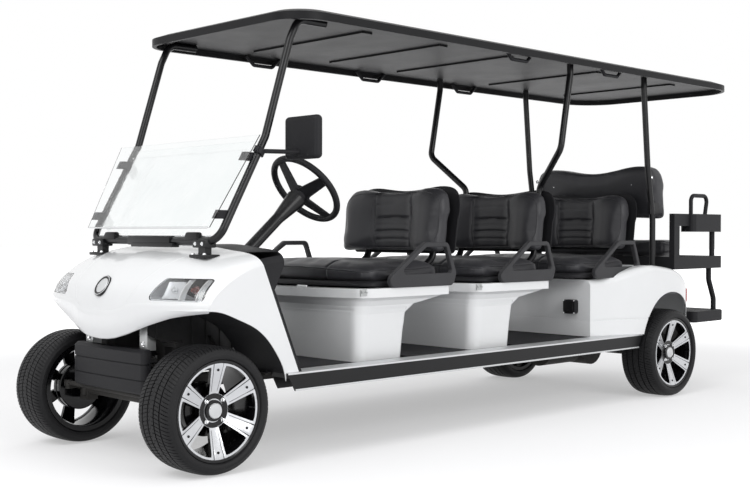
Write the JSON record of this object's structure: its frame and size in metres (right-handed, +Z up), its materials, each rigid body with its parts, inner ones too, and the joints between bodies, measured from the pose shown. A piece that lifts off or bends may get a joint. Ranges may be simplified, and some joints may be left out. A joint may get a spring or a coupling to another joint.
{
  "type": "golf cart",
  "caption": "Long open utility cart with forward benches under a flat roof, a rear-facing bench over the tail, and steered front wheels.",
  "frame": {"origin": "On the ground, under the middle of the cart's overall box.", "axes": "+Z up, -Y the front, +X the driver's side, which is the cart's own left."},
  "size_m": [1.305, 4.2153, 1.8469],
  "materials": {
    "white_body": "gloss",
    "black_plastic": "satin",
    "black_steel": "satin",
    "upholstery": "grained",
    "mat_rubber": "ribbed",
    "roof_plastic": "grained",
    "tyre_rubber": "matte",
    "rim_alloy": "machined",
    "clear_acrylic": "clear",
    "lamp_bowl": "bright",
    "tail_lens": "clear red",
    "lamp_lens": "clear",
    "battery_case": "plain",
    "motor_case": "painted"
  },
  "bodies": {
    "body": {"front_cowl": "white_body", "rear_body": "white_body", "seat_base_front": "white_body", "seat_base_middle": "white_body", "dashboard": "black_plastic", "front_bumper": "black_plastic", "sills": "black_plastic", "hip_rests_front": "black_plastic", "hip_rests_middle": "black_plastic", "hip_rests_third": "black_plastic", "backrest_shells": "black_plastic", "rear_seat_frame": "black_plastic", "rear_arms": "black_plastic", "rear_footrest": "black_plastic", "mirror": "black_plastic", "windshield_clips": "black_plastic", "charging_socket": "black_plastic", "roof_handles": "black_plastic", "floor_pan": "black_plastic", "front_liners": "black_plastic", "chassis_frame": "black_steel", "front_axle": "black_steel", "rear_axle": "black_steel", "rear_springs": "black_steel", "front_dampers": "black_steel", "front_hoop": "black_steel", "middle_posts": "black_steel", "rear_posts": "black_steel", "backrest_frames": "black_steel", "steering_column": "black_steel", "pedals": "black_steel", "backrest_front": "upholstery", "backrest_middle": "upholstery", "backrest_third": "upholstery", "rear_backrest": "upholstery", "floor_mats": "mat_rubber", "roof": "roof_plastic", "windshield_lower": "clear_acrylic", "windshield_upper": "clear_acrylic", "headlamps": "lamp_lens", "lamp_bowls": "lamp_bowl", "tail_lamps": "tail_lens", "battery_block": "battery_case", "drive_motor": "motor_case"},
    "knuckle_left": {"knuckle_left": "black_steel"},
    "knuckle_right": {"knuckle_right": "black_steel"},
    "tie_rod": {"tie_rod": "black_steel"},
    "steering_wheel": {"steering_wheel": "black_plastic"},
    "wheel_front_left": {"tyre_front_left": "tyre_rubber", "rim_front_left": "rim_alloy"},
    "wheel_front_right": {"tyre_front_right": "tyre_rubber", "rim_front_right": "rim_alloy"},
    "wheel_rear_left": {"tyre_rear_left": "tyre_rubber", "rim_rear_left": "rim_alloy"},
    "wheel_rear_right": {"tyre_rear_right": "tyre_rubber", "rim_rear_right": "rim_alloy"},
    "cushion_front": {"cushion_front": "upholstery"},
    "cushion_middle": {"cushion_middle": "upholstery"},
    "cushion_third": {"cushion_third": "upholstery"},
    "rear_cushion": {"rear_cushion": "upholstery"}
  },
  "joints": [
    {"name": "steer_left", "type": "hinge", "parent": "body", "child": "knuckle_left", "pos_m": [0.4, -1.862, 0.2453], "axis": [0, 0, 1], "range_deg": [-28, 28]},
    {"name": "steer_right", "type": "hinge", "parent": "body", "child": "knuckle_right", "pos_m": [-0.4, -1.862, 0.2453], "axis": [0, 0, 1], "range_deg": [-28, 28]},
    {"name": "tie_rod_turn", "type": "hinge", "parent": "knuckle_left", "child": "tie_rod", "pos_m": [0.4, -1.946, 0.27], "axis": [0, 0, 1], "range_deg": [-28, 28]},
    {"name": "steering_wheel_turn", "type": "hinge", "parent": "body", "child": "steering_wheel", "pos_m": [0.26, -1.162, 1.112], "axis": [0, 0.766, 0.6428], "range_deg": [-400, 400]},
    {"name": "front_left_spin", "type": "hinge", "parent": "knuckle_left", "child": "wheel_front_left", "pos_m": [0.4835, -1.862, 0.2453], "axis": [1, 0, 0], "continuous": true},
    {"name": "front_right_spin", "type": "hinge", "parent": "knuckle_right", "child": "wheel_front_right", "pos_m": [-0.4835, -1.862, 0.2453], "axis": [1, 0, 0], "continuous": true},
    {"name": "rear_left_spin", "type": "hinge", "parent": "body", "child": "wheel_rear_left", "pos_m": [0.5475, 1.25, 0.2453], "axis": [1, 0, 0], "continuous": true},
    {"name": "rear_right_spin", "type": "hinge", "parent": "body", "child": "wheel_rear_right", "pos_m": [-0.5475, 1.25, 0.2453], "axis": [1, 0, 0], "continuous": true},
    {"name": "cushion_front_lift", "type": "hinge", "parent": "body", "child": "cushion_front", "pos_m": [0, -1.068, 0.6796], "axis": [1, 0, 0], "range_deg": [0, 48]},
    {"name": "cushion_middle_lift", "type": "hinge", "parent": "body", "child": "cushion_middle", "pos_m": [0, -0.303, 0.6796], "axis": [1, 0, 0], "range_deg": [0, 26]},
    {"name": "cushion_third_lift", "type": "hinge", "parent": "body", "child": "cushion_third", "pos_m": [0, 0.6614, 0.668], "axis": [1, 0, 0], "range_deg": [0, 48]},
    {"name": "rear_cushion_lift", "type": "hinge", "parent": "body", "child": "rear_cushion", "pos_m": [0, 1.461, 0.7846], "axis": [1, 0, 0], "range_deg": [0, 28]}
  ],
  "couplings": [
    {"joint": "steer_right", "follows": "steer_left", "ratio": 1},
    {"joint": "tie_rod_turn", "follows": "steer_left", "ratio": -1},
    {"joint": "steering_wheel_turn", "follows": "steer_left", "ratio": 14}
  ]
}
